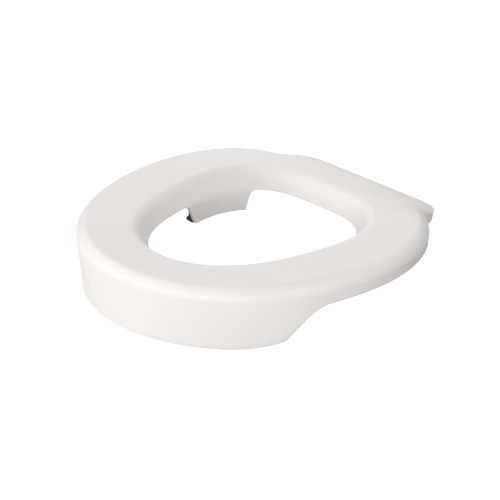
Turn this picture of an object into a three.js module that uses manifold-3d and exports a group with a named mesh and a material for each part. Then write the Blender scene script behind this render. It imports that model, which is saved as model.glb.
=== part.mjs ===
// Raised toilet seat. Millimetres, +Z up, -Y is the front, +Y the rear, X across the seat.
// The bottom edge of the front skirt lies on z = 0. Left is -X and right is +X, as seen from the front.
import * as THREE from 'three';
import { mergeVertices } from 'three/addons/utils/BufferGeometryUtils.js';
import Module from 'manifold-3d';

const wasm = await Module();
wasm.setup();
const { Manifold, Mesh } = wasm;

const DEG = Math.PI / 180;

// ---- overall ----
const HEIGHT = 75;              // deck above the lowest edge of the front skirt
const RIM_Z = 47.2;             // bottom edge of the seat at the sides, at y = 0
const RIM_SLOPE = 0.024;        // it rises a little towards the rear
const REAR_RIM = { from: 135, to: 180, dip: 8.5 };   // the rim dips again round the rear corners
const WALL = 4;                 // moulded wall thickness
const GAP = 0.3;                // clearance between neighbouring pieces

// ---- round part of the seat: radius from the middle of the seat, egg-shaped ----
const OUTER = { mean: 197.9, shift: 6.6, oval: 0.4, egg: 5.8, square: -2.2 };
const OUTER_ROLL = 13.6;        // radius of the rounded outer edge
const DRAFT = 0.1;              // the skirt narrows downwards by this much per mm

// ---- rear part: a straight edge between two corners; the deck slopes down to it ----
const REAR = { half: 118.4, y: 197.8, corner: 9.2, blend: 1.6, fall: -0.1 };
const SLOPE = { from: 126.7, grade: 0.228, soft: 7.7 };

// ---- opening ----
const INNER = { mean: 111.1, shift: 14.5, oval: 6.7, egg: 8.9, square: -1.9 };
const INNER_Y = 8.8;            // centre of the opening's outline
const INNER_WALL = { run: 15.4, round: 14.4, bend: 14 };   // slopes in by `run`, rounded above and below
const INNER_TAPER = 0.026;      // below its slope the wall closes in by this much per mm
const INNER_FRONT_Z = 52;       // bottom edge of the inner wall in front
const INNER_REAR_Z = 51.5;      // bottom edge of the inner wall behind the lugs

// ---- lugs that hang into the bowl ----
const LUG = { frontTop: -7.2, frontLow: 4.1, rearLow: 74.3, rearTop: 77.2, z: 25.9 };
const LUG_CORNERS = { frontTop: 1.6, frontLow: 1, rearLow: 0.6, rearTop: 1.6 };

// ---- front skirt: its bottom edge rises a little, then climbs to the rim level ----
const SKIRT = { riseFrom: -165, rise: 6.7, cutLow: -109.3, cutHigh: -74.7, cornerLow: 1, cornerHigh: 5.7 };

// ---- plate that closes the shell from below, with a pocket for each hook ----
const PLATE = { z: 52.5, thick: 3.5, spareIn: 1.5, spareOut: 3 };
const POCKET = { front: -2, rear: 73, top: 60.1, shell: 2.4, spare: 2, start: 40 };

// ---- clamping hooks: a leg in the pocket, a neck beside the lug and a wedge-shaped foot ----
const HOOK = { front: 3, rear: 68, clear: 3.2, leg: 40, legTop: 59.8, legThick: 2.5 };
const NECK = { low: 28.2, lowIn: -2.9, bendZ: 46, bendIn: -2.2, out: 2.8 };
const FOOT = { out: 6.6, low: 29, high: 30, wedgeTop: 33.2 };
const GRIP = { wall: 1.4, top: 40 };
const HOOK_TRAVEL = 10;
const BEND = { out: 0.8, drop: 2.7, run: 6, insideDrop: 3.2, insideRun: 7 };   // corner of neck and leg

// ---- clamp screw of each hook ----
const CLAMP = { reach: 31, y: 35, shank: 2.5, top: 67.5, head: 6.5, headTop: 56.1, headThick: 3 };
const CLAMP_BOSS = { radius: 6.5, top: 69.5 };
const CLAMP_SLOT = { half: 0.8, length: 9, depth: 1.3 };
const WASHER = { outer: 6.8, inner: 2.9, z: 56.4, thick: 0.6 };

// ---- base screws, from below into bosses of the shell ----
const SCREW_ANGLES = [-102, -78, -38, 37, 75, 105, 143, -142];
const SCREW = { shank: 1.75, head: 4, headThick: 2, length: 13, recess: 1.6, recessDepth: 1.2 };
const BOSS = { outer: 4.5, inner: 2.05, depth: 9.8 };

// ---- rim pads under the base plate, and bumpers inside the skirt ----
const PAD = { low: 45.2, width: 16, halfAngle: 7, bevel: 1.5 };
const PADS = [
  ['front_left', -122], ['front_right', -58], ['side_left', -162],
  ['side_right', -18], ['rear_left', 122], ['rear_right', 58],
];
const BUMPERS = [['left', -138], ['front', -90], ['right', -42]];
const BUMPER = { low: 20, high: 36, thick: 4, halfAngle: 5, bevel: 2 };

// ---- materials ----
function finish(color, roughness, metalness) {
  return () => new THREE.MeshStandardMaterial({ color, roughness, metalness });
}
const WHITE = finish(0xf0ecea, 0.45, 0);
const PLATE_WHITE = finish(0xe2dfdc, 0.6, 0);
const DARK = finish(0x2c2b2b, 0.5, 0);
const RUBBER = finish(0x1d1c1c, 0.85, 0);
const PAD_RUBBER = finish(0x3a3a3b, 0.85, 0);
const STEEL = finish(0xc4c5c7, 0.35, 0.9);

// ---- outlines ----
function egg(shape, angle) {
  const a = angle + Math.PI / 2;
  return shape.mean + shape.shift * Math.cos(a) + shape.oval * Math.cos(2 * a)
    + shape.egg * Math.cos(3 * a) + shape.square * Math.cos(4 * a);
}

function softplus(x, k) {
  return x > 30 * k ? x : k * Math.log(1 + Math.exp(x / k));
}

// straight climb from z0 at `a` to z1 at `b`, with rounded ends
function ramp(y, a, b, z0, z1, ka, kb) {
  const slope = (z1 - z0) / (b - a);
  return z0 + slope * (softplus(y - a, ka) - softplus(y - b, kb));
}

function rearRadius(angle) {
  const s = Math.sin(angle);
  if (s < 0.02) {
    return 0;
  }
  const c = Math.abs(Math.cos(angle));
  const n = REAR.corner;
  return ((c / REAR.half) ** n + (s / REAR.y) ** n) ** (-1 / n);
}

function outerRadius(angle) {
  const round = egg(OUTER, angle);
  const rear = rearRadius(angle);
  return Math.max(round, rear + softplus(round - rear, REAR.blend));
}

function rollDepth(angle) {
  return OUTER_ROLL + REAR.fall * (outerRadius(angle) - egg(OUTER, angle));
}

// bottom edge of the seat behind the front skirt
function rim(y) {
  const part = Math.min(1, Math.max(0, (y - REAR_RIM.from) / (REAR_RIM.to - REAR_RIM.from)));
  return RIM_Z + RIM_SLOPE * y - REAR_RIM.dip * part * part * (3 - 2 * part);
}

// how far the deck has sunk at y on its slope down to the rear edge
function drop(y) {
  return SLOPE.grade * softplus(y - SLOPE.from, SLOPE.soft);
}

// takes a point of the shell down with the slope: fully at the deck, not at all at the rim
function sink([x, y, z], cover = 0) {
  const part = (z + cover - rim(y)) / (HEIGHT - rim(y));
  return [x, y, z - drop(y) * Math.min(1, Math.max(0, part))];
}

function wallRadius(angle, z) {
  return outerRadius(angle) - DRAFT * Math.max(0, HEIGHT - rollDepth(angle) - z);
}

function outerBottom(angle) {
  const y = outerRadius(angle) * Math.sin(angle);
  const part = (y - SKIRT.riseFrom) / (SKIRT.cutLow - SKIRT.riseFrom);
  const rise = SKIRT.rise * Math.min(1, Math.max(0, part)) ** 2;
  return ramp(y, SKIRT.cutLow, SKIRT.cutHigh, rise, rim(y), SKIRT.cornerLow, SKIRT.cornerHigh);
}

function innerRadius(angle, z) {
  return egg(INNER, angle) - INNER_TAPER * Math.max(0, INNER_REAR_Z - z);
}

function innerPoint(angle, offset, z) {
  const r = innerRadius(angle, z) + offset;
  return [r * Math.cos(angle), INNER_Y + r * Math.sin(angle), z];
}

function innerBottom(angle) {
  const y = INNER_Y + egg(INNER, angle) * Math.sin(angle);
  const round = LUG_CORNERS;
  if (y < (LUG.frontLow + LUG.rearLow) / 2) {
    return ramp(y, LUG.frontTop, LUG.frontLow, INNER_FRONT_Z, LUG.z, round.frontTop, round.frontLow);
  }
  return ramp(y, LUG.rearLow, LUG.rearTop, LUG.z, INNER_REAR_Z, round.rearLow, round.rearTop);
}

// the inner wall's profile: an arc down from the deck, a straight slope and an arc into the upright part.
// `cover` is the distance in from the face: 0 for the face, WALL for the side of the hollow
function innerProfile(angle, cover) {
  const y = INNER_Y + egg(INNER, angle) * Math.sin(angle);
  const part = Math.min(1, Math.max(0, (y - LUG.frontTop) / (LUG.rearTop - LUG.frontTop)));
  const foot = INNER_FRONT_Z + part * (INNER_REAR_Z - INNER_FRONT_Z);
  const lean = Math.atan2(INNER_WALL.run, HEIGHT - foot);
  const { run, round, bend } = INNER_WALL;
  const upper = { n: run + round * Math.tan(Math.PI / 4 - lean / 2), z: HEIGHT - round, r: round - cover };
  const lower = { n: bend, z: foot - bend * Math.tan(lean / 2), r: bend - cover };
  return { foot, lean, cover, upper, lower };
}

// distance of the profile from the outline at a height
function profileOffset({ foot, lean, cover, upper, lower }, z) {
  const onArc = (arc) => arc.n - Math.sqrt(arc.r ** 2 - (z - arc.z) ** 2);
  if (z >= upper.z + upper.r * Math.sin(lean)) {
    return onArc(upper);
  }
  if (z >= lower.z + lower.r * Math.sin(lean)) {
    return (z - foot) * Math.tan(lean) + cover / Math.cos(lean);
  }
  return z > lower.z ? onArc(lower) : cover;
}

// points of the profile from the deck down, with steps closer together where it would pass `low`
function profilePoints(profile, low) {
  const { lean, upper, lower } = profile;
  const points = [];
  for (let k = 0; k <= 4; k += 1) {
    const turn = (Math.PI / 2 - lean) * k / 4;
    points.push([upper.n - upper.r * Math.sin(turn), upper.z + upper.r * Math.cos(turn)]);
  }
  for (let k = 0; k <= 2; k += 1) {
    const turn = Math.PI / 2 - lean * (1 - k / 2);
    const z = Math.max(lower.z + lower.r * Math.cos(turn), low + 0.4 * (3 - k));
    points.push([profileOffset(profile, z), z]);
  }
  return points;
}

// ---- closed bodies from rows of points ----
// rows[i][j]: row i of a closed section with points j; a ring joins the last row to the first
function loft(rows, ring) {
  const count = rows[0].length;
  const points = [];
  const index = [];
  for (const row of rows) {
    for (const p of row) {
      points.push(p[0], p[1], p[2]);
    }
  }
  const spans = ring ? rows.length : rows.length - 1;
  for (let i = 0; i < spans; i += 1) {
    const a = i * count;
    const b = ((i + 1) % rows.length) * count;
    for (let j = 0; j < count; j += 1) {
      const k = (j + 1) % count;
      index.push(a + j, b + j, b + k, a + j, b + k, a + k);
    }
  }
  if (!ring) {
    const last = (rows.length - 1) * count;
    const flat = rows[0].map((p) => new THREE.Vector2(p[3], p[4]));
    const turned = THREE.ShapeUtils.isClockWise(flat);
    for (const face of THREE.ShapeUtils.triangulateShape(flat, [])) {
      const [p, q, r] = turned ? [face[2], face[1], face[0]] : face;
      index.push(p, q, r, last + r, last + q, last + p);
    }
  }
  const solid = new THREE.BufferGeometry();
  solid.setAttribute('position', new THREE.Float32BufferAttribute(points, 3));
  solid.setIndex(index);
  if (volume(solid) < 0) {
    for (let i = 0; i < index.length; i += 3) {
      [index[i], index[i + 1]] = [index[i + 1], index[i]];
    }
    solid.setIndex(index);
  }
  return solid;
}

function volume(solid) {
  const p = solid.attributes.position;
  const index = solid.index.array;
  const a = new THREE.Vector3();
  const b = new THREE.Vector3();
  const c = new THREE.Vector3();
  let sum = 0;
  for (let i = 0; i < index.length; i += 3) {
    a.fromBufferAttribute(p, index[i]);
    b.fromBufferAttribute(p, index[i + 1]);
    c.fromBufferAttribute(p, index[i + 2]);
    sum += a.dot(b.cross(c)) / 6;
  }
  return sum;
}

function toManifold(solid) {
  const bare = solid.clone();
  bare.deleteAttribute('normal');
  bare.deleteAttribute('uv');
  const merged = mergeVertices(bare, 1e-4);
  return Manifold.ofMesh(new Mesh({
    numProp: 3,
    vertProperties: new Float32Array(merged.attributes.position.array),
    triVerts: new Uint32Array(merged.index.array),
  }));
}

function fromManifold(body) {
  const mesh = body.getMesh();
  const solid = new THREE.BufferGeometry();
  solid.setAttribute('position', new THREE.Float32BufferAttribute(mesh.vertProperties, 3));
  solid.setIndex(new THREE.Uint32BufferAttribute(mesh.triVerts, 1));
  return solid;
}

function rod(radius, low, high, x, y, sides = 16) {
  const solid = new THREE.CylinderGeometry(radius, radius, high - low, sides);
  solid.rotateX(Math.PI / 2);
  solid.translate(x, y, (low + high) / 2);
  return solid;
}

function box(x0, x1, y0, y1, z0, z1) {
  const solid = new THREE.BoxGeometry(x1 - x0, y1 - y0, z1 - z0);
  solid.translate((x0 + x1) / 2, (y0 + y1) / 2, (z0 + z1) / 2);
  return solid;
}

const group = new THREE.Group();
group.name = 'raised_toilet_seat';

function add(name, solid, material) {
  const flat = solid.index ? solid.toNonIndexed() : solid;
  flat.computeVertexNormals();
  const mesh = new THREE.Mesh(flat, material());
  mesh.name = name;
  group.add(mesh);
  return mesh;
}

// ---- angles of the sections: even steps, closer together where an edge turns sharply ----
// angle at which an outline passes y, by repeated guesses
function angleAt(y, centre, radius) {
  let a = 0;
  for (let k = 0; k < 12; k += 1) {
    a = Math.asin((y - centre) / radius(a));
  }
  return a;
}

function sectionAngles() {
  const even = [];
  for (let degrees = -90; degrees < 270; degrees += 5) {
    even.push(degrees);
  }
  const extra = [50, 53, 55.5, 57.5, 59, 60.5, 62.5, 65.5];
  for (const y of [LUG.frontTop - 3, LUG.frontTop, LUG.frontLow, LUG.frontLow + 3,
    LUG.rearLow - 2, LUG.rearLow, LUG.rearTop, LUG.rearTop + 3]) {
    extra.push(angleAt(y, INNER_Y, (a) => egg(INNER, a)) / DEG);
  }
  for (const y of [SKIRT.cutLow - 3, SKIRT.cutLow, SKIRT.cutLow + 3, SKIRT.cutHigh - 6, SKIRT.cutHigh + 6]) {
    extra.push(angleAt(y, 0, outerRadius) / DEG);
  }
  const both = extra.concat(extra.map((degrees) => 180 - degrees));
  const near = (a, b) => Math.abs(((a - b + 540) % 360) - 180) < 1.2;
  const kept = even.filter((a) => !both.some((b) => near(a, b)));
  return kept.concat(both).map((a) => (a + 360) % 360).sort((a, b) => a - b);
}

// ---- seat shell: one moulding, open below ----
// closed section at one angle: up the outer wall, over the deck, down the inner wall and back inside
function shellSection(degrees) {
  const a = degrees * DEG;
  const deck = egg(OUTER, a) - OUTER_ROLL;
  const depth = rollDepth(a);
  const low = outerBottom(a);
  const out = outerRadius(a);
  const bottom = innerBottom(a);
  const face = innerProfile(a, 0);
  const back = innerProfile(a, WALL);
  const row = [];
  const outer = (r, z, cover) => row.push(sink([r * Math.cos(a), r * Math.sin(a), z], cover));
  const inner = (offset, z, cover) => row.push(sink(innerPoint(a, offset, z), cover));
  outer(wallRadius(a, low) - 1, low);
  outer(wallRadius(a, low + 1), low + 1);
  for (let k = 0; k <= 4; k += 1) {
    const f = (Math.PI / 2) * (k / 4);
    outer(deck + (out - deck) * Math.cos(f), HEIGHT - depth + depth * Math.sin(f));
  }
  for (const [offset, z] of profilePoints(face, bottom + 0.8)) {
    inner(offset, z);
  }
  inner(profileOffset(face, bottom + 0.8), bottom + 0.8);
  inner(profileOffset(face, bottom) + 0.8, bottom);
  inner(profileOffset(back, bottom), bottom);
  for (const [offset, z] of profilePoints(back, bottom).reverse()) {
    inner(offset, z, WALL);
  }
  for (let k = 3; k >= 0; k -= 1) {
    const f = (Math.PI / 2) * (k / 3);
    outer(deck + (out - WALL - deck) * Math.cos(f), HEIGHT - depth + (depth - WALL) * Math.sin(f), WALL);
  }
  outer(wallRadius(a, low) - WALL, low);
  return row;
}

// middle of the hollow between the inner and the outer wall
function middle(degrees) {
  const a = degrees * DEG;
  const inner = innerPoint(a, WALL, PLATE.z);
  const r = (Math.hypot(inner[0], inner[1]) + wallRadius(a, PLATE.z) - WALL) / 2;
  return [r * Math.cos(a), r * Math.sin(a)];
}

function seatShell() {
  const low = PLATE.z + PLATE.thick + GAP;
  let shell = toManifold(loft(sectionAngles().map(shellSection), true));
  for (const degrees of SCREW_ANGLES) {
    const [x, y] = middle(degrees);
    const high = HEIGHT - WALL - drop(y + BOSS.outer) + 1;
    shell = shell.add(toManifold(rod(BOSS.outer, low, high, x, y)));
    shell = shell.subtract(toManifold(rod(BOSS.inner, low - 1, low + BOSS.depth, x, y)));
  }
  return fromManifold(shell);
}

// ---- base plate with screw seats and one pocket per hook ----
// how far out the hollow reaches at a height: to the outer wall, or to where the deck comes down
function hollowRadius(angle, level) {
  const depth = rollDepth(angle);
  const deck = egg(OUTER, angle) - OUTER_ROLL;
  const wide = outerRadius(angle) - WALL - deck;
  for (let k = 0; k <= 60; k += 1) {
    const f = (Math.PI / 2) * (k / 60);
    const r = deck + wide * Math.cos(f);
    const z = HEIGHT - depth + (depth - WALL) * Math.sin(f);
    if (sink([0, r * Math.sin(angle), z], WALL)[2] >= level) {
      return Math.min(r, wallRadius(angle, level) - WALL);
    }
  }
  return deck;
}

// closed ring between z = low and z = high that fits in the hollow up to the height `level`
function hollowRing(low, high, level, spareIn, spareOut) {
  const rows = [];
  for (let degrees = 0; degrees < 360; degrees += 4) {
    const a = degrees * DEG;
    const out = Math.min(hollowRadius(a, PLATE.z), hollowRadius(a, level)) - spareOut;
    const inner = innerPoint(a, profileOffset(innerProfile(a, WALL), level) + spareIn, PLATE.z);
    const at = (z) => [out * Math.cos(a), out * Math.sin(a), z];
    rows.push([at(low), at(high), [inner[0], inner[1], high], [inner[0], inner[1], low]]);
  }
  return toManifold(loft(rows, true));
}

// X of the lug's face on the side of the bowl
function lugFace(y) {
  const radius = (a) => innerRadius(a, LUG.z) + WALL;
  const a = angleAt(y, INNER_Y, radius);
  return radius(a) * Math.cos(a);
}

// X of the hook's own zero line at y, and of the clamp screw
const hookLine = (y) => lugFace(y) + HOOK.clear;
const clampX = hookLine(CLAMP.y) + CLAMP.reach;

function basePlate() {
  const plateTop = PLATE.z + PLATE.thick;
  const panTop = POCKET.top + POCKET.shell;
  const far = hookLine(CLAMP.y) + HOOK.leg + HOOK_TRAVEL + 2;
  const room = hollowRing(PLATE.z, panTop, panTop, POCKET.spare, POCKET.spare);
  const reach = hollowRing(PLATE.z - 6, panTop, panTop, -20, PLATE.spareIn + POCKET.shell);
  let plate = hollowRing(PLATE.z, plateTop, plateTop, PLATE.spareIn, PLATE.spareOut);
  for (const side of [-1, 1]) {
    const span = (end) => [side * POCKET.start, side * end].sort((a, b) => a - b);
    const { front, rear, shell } = POCKET;
    const pan = toManifold(box(...span(far + shell), front - shell, rear + shell, PLATE.z, panTop));
    const boss = toManifold(rod(CLAMP_BOSS.radius, POCKET.top, CLAMP_BOSS.top, side * clampX, CLAMP.y));
    const hollow = toManifold(box(...span(far), front, rear, PLATE.z - 5, POCKET.top));
    const bore = toManifold(rod(CLAMP.shank + GAP, PLATE.z, CLAMP.top + 0.5, side * clampX, CLAMP.y));
    plate = plate.add(pan.intersect(room)).add(boss).subtract(hollow.intersect(reach)).subtract(bore);
  }
  for (const degrees of SCREW_ANGLES) {
    const [x, y] = middle(degrees);
    const seat = rod(SCREW.head + GAP, PLATE.z - 1, PLATE.z + SCREW.headThick + GAP, x, y);
    const bore = rod(SCREW.shank + GAP, PLATE.z - 1, plateTop + 1, x, y);
    plate = plate.subtract(toManifold(seat)).subtract(toManifold(bore));
  }
  return fromManifold(plate);
}

function baseScrew(degrees) {
  const [x, y] = middle(degrees);
  const head = toManifold(rod(SCREW.head, PLATE.z, PLATE.z + SCREW.headThick, x, y));
  const shank = toManifold(rod(SCREW.shank, PLATE.z + 1, PLATE.z + SCREW.length, x, y, 12));
  const recess = toManifold(rod(SCREW.recess, PLATE.z - 1, PLATE.z + SCREW.recessDepth, x, y, 6));
  return fromManifold(head.add(shank).subtract(recess));
}

// ---- rim pads and skirt bumpers: short arcs ----
function arc(degrees, half, section) {
  const rows = [];
  for (let k = -3; k <= 3; k += 1) {
    rows.push(section((degrees + half * k / 3) * DEG));
  }
  return loft(rows, false);
}

function rimPad(degrees) {
  const r = Math.hypot(...middle(degrees));
  const high = PLATE.z - GAP;
  const w = PAD.width / 2;
  const e = PAD.bevel;
  return arc(degrees, PAD.halfAngle, (a) => {
    const at = (q, z) => [q * Math.cos(a), q * Math.sin(a), z, q, z];
    return [at(r - w, high), at(r - w, PAD.low + e), at(r - w + e, PAD.low),
      at(r + w - e, PAD.low), at(r + w, PAD.low + e), at(r + w, high)];
  });
}

function skirtBumper(degrees) {
  const { low, high, thick, bevel } = BUMPER;
  return arc(degrees, BUMPER.halfAngle, (a) => {
    const at = (inset, z) => {
      const q = wallRadius(a, z) - WALL - GAP - inset;
      return [q * Math.cos(a), q * Math.sin(a), z, -inset, z];
    };
    return [at(0, low), at(0, high), at(thick - bevel, high), at(thick, high - bevel),
      at(thick, low + bevel), at(thick - bevel, low)];
  });
}

// ---- clamping hooks with their rubber grips ----
// sweeps a section of [distance out from the hook's zero line, z] points along the lug
function alongLug(side, section) {
  const steps = 9;
  const rows = [];
  for (let i = 0; i <= steps; i += 1) {
    const y = HOOK.front + (HOOK.rear - HOOK.front) * i / steps;
    rows.push(section.map(([n, z]) => [side * (hookLine(y) + n), y, z, n, z]));
  }
  return loft(rows, false);
}

// line at a distance to the right of an open line of points, with mitred corners
function parallel(line, distance) {
  const normals = [];
  for (let i = 1; i < line.length; i += 1) {
    const dx = line[i][0] - line[i - 1][0];
    const dz = line[i][1] - line[i - 1][1];
    const length = Math.hypot(dx, dz);
    normals.push([-dz / length, dx / length]);
  }
  return line.map(([x, z], i) => {
    const [ax, az] = normals[Math.max(0, i - 1)];
    const [bx, bz] = normals[Math.min(normals.length - 1, i)];
    const scale = distance / (1 + ax * bx + az * bz);
    return [x + (ax + bx) * scale, z + (az + bz) * scale];
  });
}

// the hook's face towards the bowl, from the neck down to the foot's tip and back under the foot
const GRIPPED = [
  [NECK.out, GRIP.top], [NECK.out, FOOT.wedgeTop], [FOOT.out, FOOT.high], [FOOT.out, FOOT.low],
  [NECK.lowIn, NECK.low],
];

function hook(side) {
  const legLow = HOOK.legTop - HOOK.legThick;
  const section = [
    [NECK.bendIn, NECK.bendZ], [BEND.out, legLow - BEND.drop], [BEND.run, HOOK.legTop],
    [HOOK.leg, HOOK.legTop], [HOOK.leg, legLow], [BEND.insideRun, legLow],
    [NECK.out, legLow - BEND.insideDrop], ...GRIPPED.slice(1),
  ];
  const near = clampX - HOOK_TRAVEL;
  const r = CLAMP.shank + GAP;
  const ends = [side * near, side * clampX].sort((a, b) => a - b);
  const low = legLow - 1;
  const high = HOOK.legTop + 1;
  const slot = toManifold(box(...ends, CLAMP.y - r, CLAMP.y + r, low, high))
    .add(toManifold(rod(r, low, high, side * near, CLAMP.y)))
    .add(toManifold(rod(r, low, high, side * clampX, CLAMP.y)));
  return fromManifold(toManifold(alongLug(side, section)).subtract(slot));
}

function hookGrip(side) {
  const inside = parallel(GRIPPED, GAP);
  const outside = parallel(GRIPPED, GAP + GRIP.wall);
  return alongLug(side, inside.concat(outside.reverse()));
}

function clampWasher(side) {
  const x = side * clampX;
  const disc = toManifold(rod(WASHER.outer, WASHER.z, WASHER.z + WASHER.thick, x, CLAMP.y, 24));
  return fromManifold(disc.subtract(toManifold(rod(WASHER.inner, WASHER.z - 1, WASHER.z + 2, x, CLAMP.y))));
}

function clampScrew() {
  const low = CLAMP.headTop - CLAMP.headThick;
  const { half, length, depth } = CLAMP_SLOT;
  const head = toManifold(rod(CLAMP.head, low, CLAMP.headTop, 0, 0, 24));
  const shank = toManifold(rod(CLAMP.shank, low + 1, CLAMP.top, 0, 0));
  const slot = toManifold(box(-half, half, -length / 2, length / 2, low - 1, low + depth));
  return fromManifold(head.add(shank).subtract(slot));
}

// ---- assembly ----
add('seat_shell', seatShell(), WHITE);
add('base_plate', basePlate(), PLATE_WHITE);
SCREW_ANGLES.forEach((degrees, i) => add(`base_screw_${i + 1}`, baseScrew(degrees), STEEL));
for (const [name, degrees] of PADS) {
  add(`rim_pad_${name}`, rimPad(degrees), PAD_RUBBER);
}
for (const [name, degrees] of BUMPERS) {
  add(`skirt_bumper_${name}`, skirtBumper(degrees), PAD_RUBBER);
}
for (const [name, side] of [['left', -1], ['right', 1]]) {
  add(`hook_${name}`, hook(side), DARK);
  add(`hook_grip_${name}`, hookGrip(side), RUBBER);
  add(`clamp_washer_${name}`, clampWasher(side), STEEL);
  add(`clamp_screw_${name}`, clampScrew(), DARK).position.set(side * clampX, CLAMP.y, 0);
}

// the origin is under the middle of the whole seat
const bounds = new THREE.Box3().setFromObject(group);
for (const mesh of group.children) {
  mesh.position.y -= (bounds.min.y + bounds.max.y) / 2;
}

export default group;
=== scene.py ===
"""Raised toilet seat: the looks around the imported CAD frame. Metres, +Z up, -Y is the front."""
import math

import bpy
import numpy as np
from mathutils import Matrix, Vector


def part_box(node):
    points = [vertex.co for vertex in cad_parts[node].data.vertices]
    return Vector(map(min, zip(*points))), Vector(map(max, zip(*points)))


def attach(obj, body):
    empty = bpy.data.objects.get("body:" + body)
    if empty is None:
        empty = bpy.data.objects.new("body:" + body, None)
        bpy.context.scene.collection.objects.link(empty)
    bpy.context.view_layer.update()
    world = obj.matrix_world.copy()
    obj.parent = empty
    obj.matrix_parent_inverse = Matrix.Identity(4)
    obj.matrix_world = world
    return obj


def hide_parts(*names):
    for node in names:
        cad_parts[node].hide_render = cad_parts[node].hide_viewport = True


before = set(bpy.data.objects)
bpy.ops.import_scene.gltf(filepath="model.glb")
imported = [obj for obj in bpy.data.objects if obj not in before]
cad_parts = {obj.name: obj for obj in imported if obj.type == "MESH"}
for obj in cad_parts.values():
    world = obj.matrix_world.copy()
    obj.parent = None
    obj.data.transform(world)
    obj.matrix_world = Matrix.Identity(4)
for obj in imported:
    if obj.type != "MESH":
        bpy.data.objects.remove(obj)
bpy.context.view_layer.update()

MM = 0.001

# ---- the seat's shape, in millimetres, as in the CAD part ----
HEIGHT = 75.0                   # deck above the lowest edge of the front skirt
RIM_Z = 47.2                    # bottom edge of the seat at the sides, at y = 0
RIM_SLOPE = 0.024               # it rises a little towards the rear
REAR_RIM = dict(start=135.0, end=180.0, dip=8.5)    # it dips again round the rear corners
WALL = 4.0
OUTER = dict(mean=197.9, shift=6.6, oval=0.4, egg=5.8, square=-2.2)
OUTER_ROLL = 13.6               # radius of the rounded outer edge
DRAFT = 0.1                     # the skirt narrows downwards by this much per mm
REAR = dict(half=118.4, y=197.8, corner=9.2, blend=1.6, fall=-0.1)
REAR_SINE = 0.02                # sine of the angle behind which the rear part begins
SLOPE = dict(start=126.7, grade=0.228, soft=7.7)    # the deck slopes down to the rear edge
INNER = dict(mean=111.1, shift=14.5, oval=6.7, egg=8.9, square=-1.9)
INNER_Y = 8.8                   # centre of the opening's outline
INNER_WALL = dict(run=15.4, round=14.4, bend=14.0)  # slopes in by `run`, rounded above and below
INNER_TAPER = 0.026             # below its slope the wall closes in by this much per mm
INNER_FRONT_Z = 52.0            # bottom edge of the inner wall in front
INNER_REAR_Z = 51.5             # bottom edge of the inner wall behind the lugs
LUG = dict(front_top=-7.2, front_low=4.1, rear_low=74.3, rear_top=77.2, z=25.9)
LUG_CORNERS = dict(front_top=1.6, front_low=1.0, rear_low=0.6, rear_top=1.6)
SKIRT = dict(rise_from=-165.0, rise=6.7, cut_low=-109.3, cut_high=-74.7,
             corner_low=1.0, corner_high=5.7)
EDGE = 1.5                      # rounding of the bottom edges
INSIDE_EDGE = 0.6               # bevel of the bottom edges towards the hollow

# ---- fineness of the meshes ----
SECTIONS = 900                  # sections round the ring
EDGE_STEPS = 4
ROLL_STEPS = dict(face=20, hollow=8)
INNER_STEPS = dict(face=(16, 4, 8), hollow=(8, 2, 3))   # upper arc, slope and lower arc
WALL_LEVELS = (0.15, 0.4, 0.7, 0.9)     # rows on the outer wall, as parts of its height
LUG_LEVELS = (0.3, 0.65)                # rows on the upright part of the inner wall
DECK_STEPS = 10
ROW_GAP = 0.1                   # least height between rows where they meet the bottom edge
BEVEL_STEPS = 3
CREASE = 30                     # edges sharper than this many degrees are rounded
WELD = 0.00002                  # metres


# ---- outlines ----
def egg(shape, angle):
    a = angle + math.pi / 2
    return (shape["mean"] + shape["shift"] * np.cos(a) + shape["oval"] * np.cos(2 * a)
            + shape["egg"] * np.cos(3 * a) + shape["square"] * np.cos(4 * a))


def softplus(x, k):
    return k * np.logaddexp(0, x / k)


def ramp(y, a, b, z0, z1, ka, kb):
    """Straight climb from z0 at a to z1 at b, with rounded ends."""
    return z0 + (z1 - z0) / (b - a) * (softplus(y - a, ka) - softplus(y - b, kb))


def rear_radius(angle):
    s = np.maximum(np.sin(angle), REAR_SINE)
    c = np.abs(np.cos(angle))
    n = REAR["corner"]
    r = ((c / REAR["half"]) ** n + (s / REAR["y"]) ** n) ** (-1 / n)
    return np.where(np.sin(angle) > REAR_SINE, r, 0.0)


def outer_radius(angle):
    plain = egg(OUTER, angle)
    rear = rear_radius(angle)
    return np.maximum(plain, rear + softplus(plain - rear, REAR["blend"]))


def roll_depth(angle):
    return OUTER_ROLL + REAR["fall"] * (outer_radius(angle) - egg(OUTER, angle))


def rim(y):
    """Bottom edge of the seat behind the front skirt."""
    part = np.clip((y - REAR_RIM["start"]) / (REAR_RIM["end"] - REAR_RIM["start"]), 0, 1)
    return RIM_Z + RIM_SLOPE * y - REAR_RIM["dip"] * part * part * (3 - 2 * part)


def sink(y, z, cover):
    """Height after the slope down to the rear edge: all of it at the deck, none at the rim."""
    drop = SLOPE["grade"] * softplus(y - SLOPE["start"], SLOPE["soft"])
    return z - drop * np.clip((z + cover - rim(y)) / (HEIGHT - rim(y)), 0, 1)


def wall_radius(angle, z):
    return outer_radius(angle) - DRAFT * np.maximum(0, HEIGHT - roll_depth(angle) - z)


def outer_bottom(angle):
    y = outer_radius(angle) * np.sin(angle)
    part = (y - SKIRT["rise_from"]) / (SKIRT["cut_low"] - SKIRT["rise_from"])
    rise = SKIRT["rise"] * np.clip(part, 0, 1) ** 2
    return ramp(y, SKIRT["cut_low"], SKIRT["cut_high"], rise, rim(y),
                SKIRT["corner_low"], SKIRT["corner_high"])


def inner_radius(angle, z):
    return egg(INNER, angle) - INNER_TAPER * np.maximum(0, INNER_REAR_Z - z)


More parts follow.
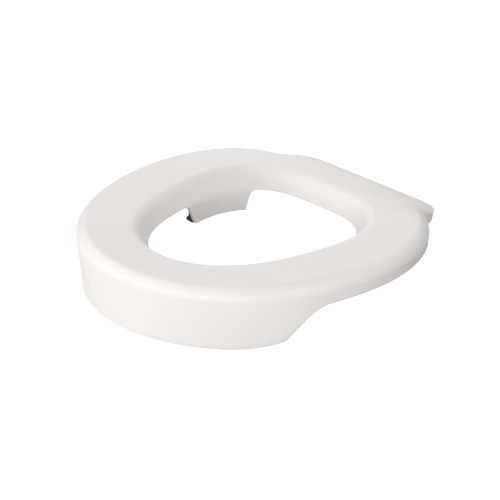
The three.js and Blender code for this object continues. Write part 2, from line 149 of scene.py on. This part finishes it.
def inner_bottom(angle):
    y = INNER_Y + egg(INNER, angle) * np.sin(angle)
    front = ramp(y, LUG["front_top"], LUG["front_low"], INNER_FRONT_Z, LUG["z"],
                 LUG_CORNERS["front_top"], LUG_CORNERS["front_low"])
    rear = ramp(y, LUG["rear_low"], LUG["rear_top"], LUG["z"], INNER_REAR_Z,
                LUG_CORNERS["rear_low"], LUG_CORNERS["rear_top"])
    return np.where(y < (LUG["front_low"] + LUG["rear_low"]) / 2, front, rear)


class InnerProfile:
    """The inner wall: an arc down from the deck, a slope and an arc into the upright part.

    cover is the distance in from the face: 0 for the face, WALL for the side of the hollow.
    """

    def __init__(self, angle, cover):
        y = INNER_Y + egg(INNER, angle) * np.sin(angle)
        part = np.clip((y - LUG["front_top"]) / (LUG["rear_top"] - LUG["front_top"]), 0, 1)
        self.foot = INNER_FRONT_Z + part * (INNER_REAR_Z - INNER_FRONT_Z)
        self.lean = np.arctan2(INNER_WALL["run"], HEIGHT - self.foot)
        self.cover = cover
        self.upper_n = INNER_WALL["run"] + INNER_WALL["round"] * np.tan(math.pi / 4 - self.lean / 2)
        self.upper_z = HEIGHT - INNER_WALL["round"]
        self.upper_r = INNER_WALL["round"] - cover
        self.lower_n = INNER_WALL["bend"]
        self.lower_z = self.foot - INNER_WALL["bend"] * np.tan(self.lean / 2)
        self.lower_r = INNER_WALL["bend"] - cover

    def offset(self, z):
        """Distance from the outline at a height."""
        def on_arc(n, centre, r):
            return n - np.sqrt(np.maximum(0, r ** 2 - (z - centre) ** 2))
        slope = (z - self.foot) * np.tan(self.lean) + self.cover / np.cos(self.lean)
        lower = on_arc(self.lower_n, self.lower_z, self.lower_r)
        low = np.where(z > self.lower_z, lower, self.cover)
        straight = z >= self.lower_z + self.lower_r * np.sin(self.lean)
        high = z >= self.upper_z + self.upper_r * np.sin(self.lean)
        upper = on_arc(self.upper_n, self.upper_z, self.upper_r)
        return np.where(high, upper, np.where(straight, slope, low))

    def points(self, low, upper_steps, slope_steps, lower_steps):
        """Rows of (offset, z) from the deck down, closer together where they would pass `low`."""
        for k in range(upper_steps + 1):
            turn = (math.pi / 2 - self.lean) * k / upper_steps
            offset = self.upper_n - self.upper_r * np.sin(turn)
            yield offset, self.upper_z + self.upper_r * np.cos(turn)
        top = self.upper_z + self.upper_r * np.sin(self.lean)
        end = self.lower_z + self.lower_r * np.sin(self.lean)
        heights = [top + (end - top) * k / slope_steps for k in range(1, slope_steps)]
        for k in range(lower_steps + 1):
            turn = math.pi / 2 - self.lean * (1 - k / lower_steps)
            heights.append(self.lower_z + self.lower_r * np.cos(turn))
        for k, z in enumerate(heights):
            z = np.maximum(z, low + ROW_GAP * (len(heights) - k))
            yield self.offset(z), z


# ---- meshes ----
# the origin is the middle of the whole seat, and the outlines start from the round part's middle
centre_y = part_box("seat_shell")[0].y / MM + egg(OUTER, -math.pi / 2)


def new_object(name, vertices, faces):
    mesh = bpy.data.meshes.new(name)
    mesh.from_pydata([tuple(v) for v in vertices], [], faces)
    mesh.update()
    mesh.shade_smooth()
    obj = bpy.data.objects.new(name, mesh)
    bpy.context.scene.collection.objects.link(obj)
    return obj


def ring_faces(rows, count):
    faces = []
    for i in range(rows):
        a = i * count
        b = ((i + 1) % rows) * count
        for j in range(count):
            k = (j + 1) % count
            faces.append((a + j, b + j, b + k, a + k))
    return faces


def quarter(steps):
    return [math.pi / 2 * k / steps for k in range(steps + 1)]


def shell_vertices():
    """Points of the shell's closed section at every angle: up the outer wall, over the deck,
    down the inner wall and back inside the hollow."""
    a = np.linspace(0, 2 * math.pi, SECTIONS, endpoint=False)
    c, s = np.cos(a), np.sin(a)
    top = np.full_like(a, HEIGHT)
    deck = egg(OUTER, a) - OUTER_ROLL
    depth = roll_depth(a)
    low = outer_bottom(a)
    out = outer_radius(a)
    bottom = inner_bottom(a)
    columns = []

    def column(x, y, z, cover):
        columns.append((x, y, sink(y, np.broadcast_to(z, a.shape), cover)))

    def polar(r, z, cover=0.0):
        column(r * c, r * s, z, cover)

    def inner(offset, z, cover=0.0):
        r = inner_radius(a, z) + offset
        column(r * c, INNER_Y + r * s, z, cover)

    for f in reversed(quarter(EDGE_STEPS)):
        z = low + EDGE * (1 - math.sin(f))
        polar(wall_radius(a, z) - EDGE * (1 - math.cos(f)), z)
    wall_top = top - depth
    for part in WALL_LEVELS:
        z = low + EDGE + (wall_top - low - EDGE) * part
        polar(wall_radius(a, z), z)
    for f in quarter(ROLL_STEPS["face"]):
        polar(deck + (out - deck) * math.cos(f), wall_top + depth * math.sin(f))
    face = InnerProfile(a, 0)
    back = InnerProfile(a, WALL)
    far = egg(INNER, a) + face.upper_n
    inner_edge = np.hypot(far * c, INNER_Y + far * s)
    for part in range(1, DECK_STEPS):
        polar(deck + (inner_edge - deck) * part / DECK_STEPS, top)
    for offset, z in face.points(bottom + EDGE, *INNER_STEPS["face"]):
        inner(offset, z)
    straight = np.maximum(face.lower_z, bottom + EDGE + ROW_GAP)
    for part in LUG_LEVELS:
        z = straight + (bottom + EDGE - straight) * part
        inner(face.offset(z), z)
    for f in quarter(EDGE_STEPS):
        z = bottom + EDGE * (1 - math.sin(f))
        inner(face.offset(z) + EDGE * (1 - math.cos(f)), z)
    hollow_low = bottom + INSIDE_EDGE
    inner(back.offset(hollow_low) - INSIDE_EDGE, bottom)
    inner(back.offset(hollow_low), hollow_low)
    for offset, z in reversed(list(back.points(hollow_low, *INNER_STEPS["hollow"]))):
        inner(offset, z, WALL)
    for f in reversed(quarter(ROLL_STEPS["hollow"])):
        z = wall_top + (depth - WALL) * math.sin(f)
        polar(deck + (out - WALL - deck) * math.cos(f), z, WALL)
    polar(wall_radius(a, low) - WALL, low + INSIDE_EDGE)
    polar(wall_radius(a, low) - WALL + INSIDE_EDGE, low)
    points = np.stack([np.stack(each, -1) for each in columns], 1)
    points[..., 1] += centre_y
    return points


def make_shell():
    points = shell_vertices()
    rows, count = points.shape[:2]
    obj = new_object("seat_moulding", points.reshape(-1, 3) * MM, ring_faces(rows, count))
    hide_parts("seat_shell")
    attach(obj, "seat")
    return obj


def finished(node, body, bevel):
    """A CAD node's shape with its edges rounded, in place of the node."""
    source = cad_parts[node]
    obj = bpy.data.objects.new(node + "_finished", source.data.copy())
    bpy.context.scene.collection.objects.link(obj)
    obj.data.materials.clear()
    weld = obj.modifiers.new("weld", "WELD")
    weld.merge_threshold = WELD
    round_edges = obj.modifiers.new("round", "BEVEL")
    round_edges.width = bevel * MM
    round_edges.segments = BEVEL_STEPS
    round_edges.limit_method = "ANGLE"
    round_edges.angle_limit = math.radians(CREASE)
    round_edges.use_clamp_overlap = True
    depsgraph = bpy.context.evaluated_depsgraph_get()
    mesh = bpy.data.meshes.new_from_object(obj.evaluated_get(depsgraph))
    obj.modifiers.clear()
    obj.data = mesh
    mesh.shade_smooth()
    mesh.set_sharp_from_angle(angle=math.radians(CREASE))
    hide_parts(node)
    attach(obj, body)
    return obj


# ---- materials ----
class Nodes:
    """Short-hand for building one material's node tree."""

    def __init__(self, name):
        self.material = bpy.data.materials.new(name)
        self.material.use_nodes = True
        self.tree = self.material.node_tree
        self.shader = self.tree.nodes["Principled BSDF"]
        self.place = self.add("ShaderNodeTexCoord").outputs["Object"]

    def add(self, kind, **settings):
        node = self.tree.nodes.new(kind)
        for key, value in settings.items():
            setattr(node, key, value)
        return node

    def link(self, source, target):
        self.tree.links.new(source, target)

    def noise(self, scale, detail=4.0, roughness=0.5):
        node = self.add("ShaderNodeTexNoise")
        node.inputs["Scale"].default_value = scale
        node.inputs["Detail"].default_value = detail
        node.inputs["Roughness"].default_value = roughness
        self.link(self.place, node.inputs["Vector"])
        return node.outputs["Fac"]

    def ramp(self, source, stops):
        node = self.add("ShaderNodeValToRGB")
        node.color_ramp.elements[0].position = stops[0][0]
        node.color_ramp.elements[1].position = stops[-1][0]
        for position, _ in stops[1:-1]:
            node.color_ramp.elements.new(position)
        for element, (_, colour) in zip(node.color_ramp.elements, stops):
            element.color = (*colour, 1)
        self.link(source, node.inputs["Fac"])
        return node.outputs["Color"]

    def span(self, source, low, high):
        node = self.add("ShaderNodeMapRange")
        node.inputs["To Min"].default_value = low
        node.inputs["To Max"].default_value = high
        self.link(source, node.inputs["Value"])
        return node.outputs["Result"]

    def bump(self, source, distance, strength, before=None):
        node = self.add("ShaderNodeBump")
        node.inputs["Distance"].default_value = distance
        node.inputs["Strength"].default_value = strength
        self.link(source, node.inputs["Height"])
        if before is not None:
            self.link(before, node.inputs["Normal"])
        return node.outputs["Normal"]


PLASTIC_IOR = 1.49
PLASTIC_SPECULAR = 0.35


def shade(colour, factor):
    return tuple(min(1.0, c * factor) for c in colour)


def plastic(name, colour, roughness, grain):
    """Moulded plastic: a faintly cloudy colour, uneven gloss and the fine grain of the mould."""
    n = Nodes(name)
    cloud = n.noise(9, 3)
    n.link(n.ramp(cloud, [(0.3, shade(colour, 0.985)), (0.7, shade(colour, 1.01))]),
           n.shader.inputs["Base Color"])
    gloss = n.span(n.noise(60, 5, 0.6), roughness - 0.05, roughness + 0.05)
    n.link(gloss, n.shader.inputs["Roughness"])
    wave = n.bump(n.noise(14, 2), 0.0006, 0.12)
    n.link(n.bump(n.noise(grain, 3, 0.55), 0.00006, 0.35, wave), n.shader.inputs["Normal"])
    n.shader.inputs["IOR"].default_value = PLASTIC_IOR
    n.shader.inputs["Specular IOR Level"].default_value = PLASTIC_SPECULAR
    return n.material


def rubber(name, colour):
    """Rubber: dull, slightly dusty, with fine moulded ribs."""
    n = Nodes(name)
    dust = n.noise(140, 6, 0.65)
    n.link(n.ramp(dust, [(0.35, colour), (0.8, shade(colour, 1.9))]), n.shader.inputs["Base Color"])
    n.link(n.span(n.noise(220, 4), 0.68, 0.9), n.shader.inputs["Roughness"])
    ribs = n.add("ShaderNodeTexWave", wave_type="BANDS", bands_direction="Y", wave_profile="SIN")
    ribs.inputs["Scale"].default_value = 130
    ribs.inputs["Distortion"].default_value = 0
    n.link(n.place, ribs.inputs["Vector"])
    coarse = n.bump(ribs.outputs["Fac"], 0.0004, 0.5)
    n.link(n.bump(n.noise(1800, 2), 0.00008, 0.4, coarse), n.shader.inputs["Normal"])
    return n.material


def coated(name, colour):
    """Powder-coated steel: orange-peel texture, a little lighter where it rubs."""
    n = Nodes(name)
    rub = n.noise(90, 8, 0.7)
    n.link(n.ramp(rub, [(0.4, colour), (0.62, shade(colour, 1.5)), (0.8, shade(colour, 2.6))]),
           n.shader.inputs["Base Color"])
    n.link(n.span(n.noise(300, 3), 0.34, 0.52), n.shader.inputs["Roughness"])
    n.link(n.bump(n.noise(1500, 2), 0.00006, 0.5), n.shader.inputs["Normal"])
    return n.material


def zinc(name, colour):
    """Zinc-plated steel with fine turning marks and dull patches."""
    n = Nodes(name)
    n.link(n.ramp(n.noise(400, 4), [(0.3, shade(colour, 0.8)), (0.7, shade(colour, 1.1))]),
           n.shader.inputs["Base Color"])
    n.link(n.span(n.noise(700, 6, 0.7), 0.22, 0.45), n.shader.inputs["Roughness"])
    n.link(n.bump(n.noise(3000, 2), 0.00003, 0.4), n.shader.inputs["Normal"])
    n.shader.inputs["Metallic"].default_value = 1.0
    return n.material


def paint(obj, material):
    obj.data.materials.clear()
    obj.data.materials.append(material)


WHITE = (0.817, 0.776, 0.752)
OFF_WHITE = (0.72, 0.70, 0.68)

shell_plastic = plastic("shell_plastic_satin", WHITE, 0.50, 1100)
base_plastic = plastic("base_plastic_grain", OFF_WHITE, 0.55, 700)
pad_rubber = rubber("pad_rubber_dark", (0.055, 0.055, 0.057))
grip_rubber = rubber("grip_rubber_black", (0.022, 0.021, 0.021))
hook_metal = coated("hook_coating_black", (0.030, 0.029, 0.029))
clamp_metal = coated("clamp_coating_black", (0.036, 0.036, 0.037))
screw_steel = zinc("screw_zinc", (0.58, 0.58, 0.60))

# ---- pieces ----
paint(make_shell(), shell_plastic)
paint(finished("base_plate", "seat", 0.5), base_plastic)
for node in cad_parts:
    if node.startswith("base_screw"):
        paint(finished(node, "seat", 0.25), screw_steel)
    if node.startswith("rim_pad") or node.startswith("skirt_bumper"):
        paint(finished(node, "seat", 0.7), pad_rubber)
for side in ("left", "right"):
    paint(finished(f"hook_{side}", f"{side}_hook", 0.5), hook_metal)
    paint(finished(f"hook_grip_{side}", f"{side}_hook", 0.4), grip_rubber)
    paint(finished(f"clamp_screw_{side}", f"{side}_clamp", 0.4), clamp_metal)
    paint(finished(f"clamp_washer_{side}", f"{side}_clamp", 0.12), screw_steel)


# ---- floor, light and camera ----
# a tent of soft boxes round the seat: degrees from +X towards +Y, degrees up, watts
SOFT_BOXES = [
    (0, 40, 21.8), (90, 40, 15.2), (135, 15, 8.8),
    (180, 40, 16.6), (225, 12, 23.7), (292, 12, 30.3),
]
SOFT_BOX_SIZE = 1.2             # metres across
SOFT_BOX_DISTANCE = 2.2         # from the seat
SEAT_MIDDLE = (0, 0, 0.05)
FLOOR_HALF = 6.0
FLOOR_GLOW = 1.15               # the floor looks lit through, as a white table of a studio does
CAMERA = dict(azimuth=45.94, elevation=25.41, distance=3.382, view_angle=9.612)
CAMERA_TARGET = (0.0104, -0.0104, 0.0375)


def floor():
    h = FLOOR_HALF
    obj = new_object("floor", [(-h, -h, 0), (h, -h, 0), (h, h, 0), (-h, h, 0)], [(0, 1, 2, 3)])
    n = Nodes("floor_white")
    n.link(n.ramp(n.noise(3, 2), [(0.3, (0.50, 0.50, 0.50)), (0.7, (0.53, 0.53, 0.53))]),
           n.shader.inputs["Base Color"])
    n.shader.inputs["Roughness"].default_value = 0.9
    n.shader.inputs["Specular IOR Level"].default_value = 0.1
    n.shader.inputs["Emission Color"].default_value = (1, 1, 1, 1)
    seen = n.add("ShaderNodeLightPath").outputs["Is Camera Ray"]
    n.link(n.span(seen, 0.0, FLOOR_GLOW), n.shader.inputs["Emission Strength"])
    paint(obj, n.material)


def aim(obj, target):
    direction = Vector(target) - obj.location
    obj.rotation_mode = "QUATERNION"
    obj.rotation_quaternion = direction.to_track_quat("-Z", "Y")


def studio_light(azimuth, elevation, power):
    """A round soft box that faces the seat."""
    name = f"soft_box_{azimuth}"
    a, e = math.radians(azimuth), math.radians(elevation)
    light = bpy.data.lights.new(name, "AREA")
    light.shape = "DISK"
    light.size = SOFT_BOX_SIZE
    light.energy = power
    obj = bpy.data.objects.new(name, light)
    out = Vector((math.cos(a) * math.cos(e), math.sin(a) * math.cos(e), math.sin(e)))
    obj.location = Vector(SEAT_MIDDLE) + SOFT_BOX_DISTANCE * out
    bpy.context.scene.collection.objects.link(obj)
    aim(obj, SEAT_MIDDLE)


def camera(target, azimuth, elevation, distance, view_angle):
    """Azimuth is measured from straight in front of the seat towards its right side."""
    a, e = math.radians(azimuth), math.radians(elevation)
    back = Vector((math.sin(a) * math.cos(e), -math.cos(a) * math.cos(e), math.sin(e)))
    data = bpy.data.cameras.new("camera")
    data.sensor_width = 36
    data.lens = 18 / math.tan(math.radians(view_angle / 2))
    data.clip_end = 50
    obj = bpy.data.objects.new("camera", data)
    obj.location = Vector(target) + back * distance
    bpy.context.scene.collection.objects.link(obj)
    aim(obj, target)
    bpy.context.scene.camera = obj


def dark_world():
    scene_world = bpy.data.worlds.new("studio")
    scene_world.use_nodes = True
    scene_world.node_tree.nodes["Background"].inputs["Strength"].default_value = 0
    bpy.context.scene.world = scene_world


floor()
dark_world()
for azimuth, elevation, power in SOFT_BOXES:
    studio_light(azimuth, elevation, power)
camera(CAMERA_TARGET, **CAMERA)
bpy.context.scene.view_settings.view_transform = "Standard"
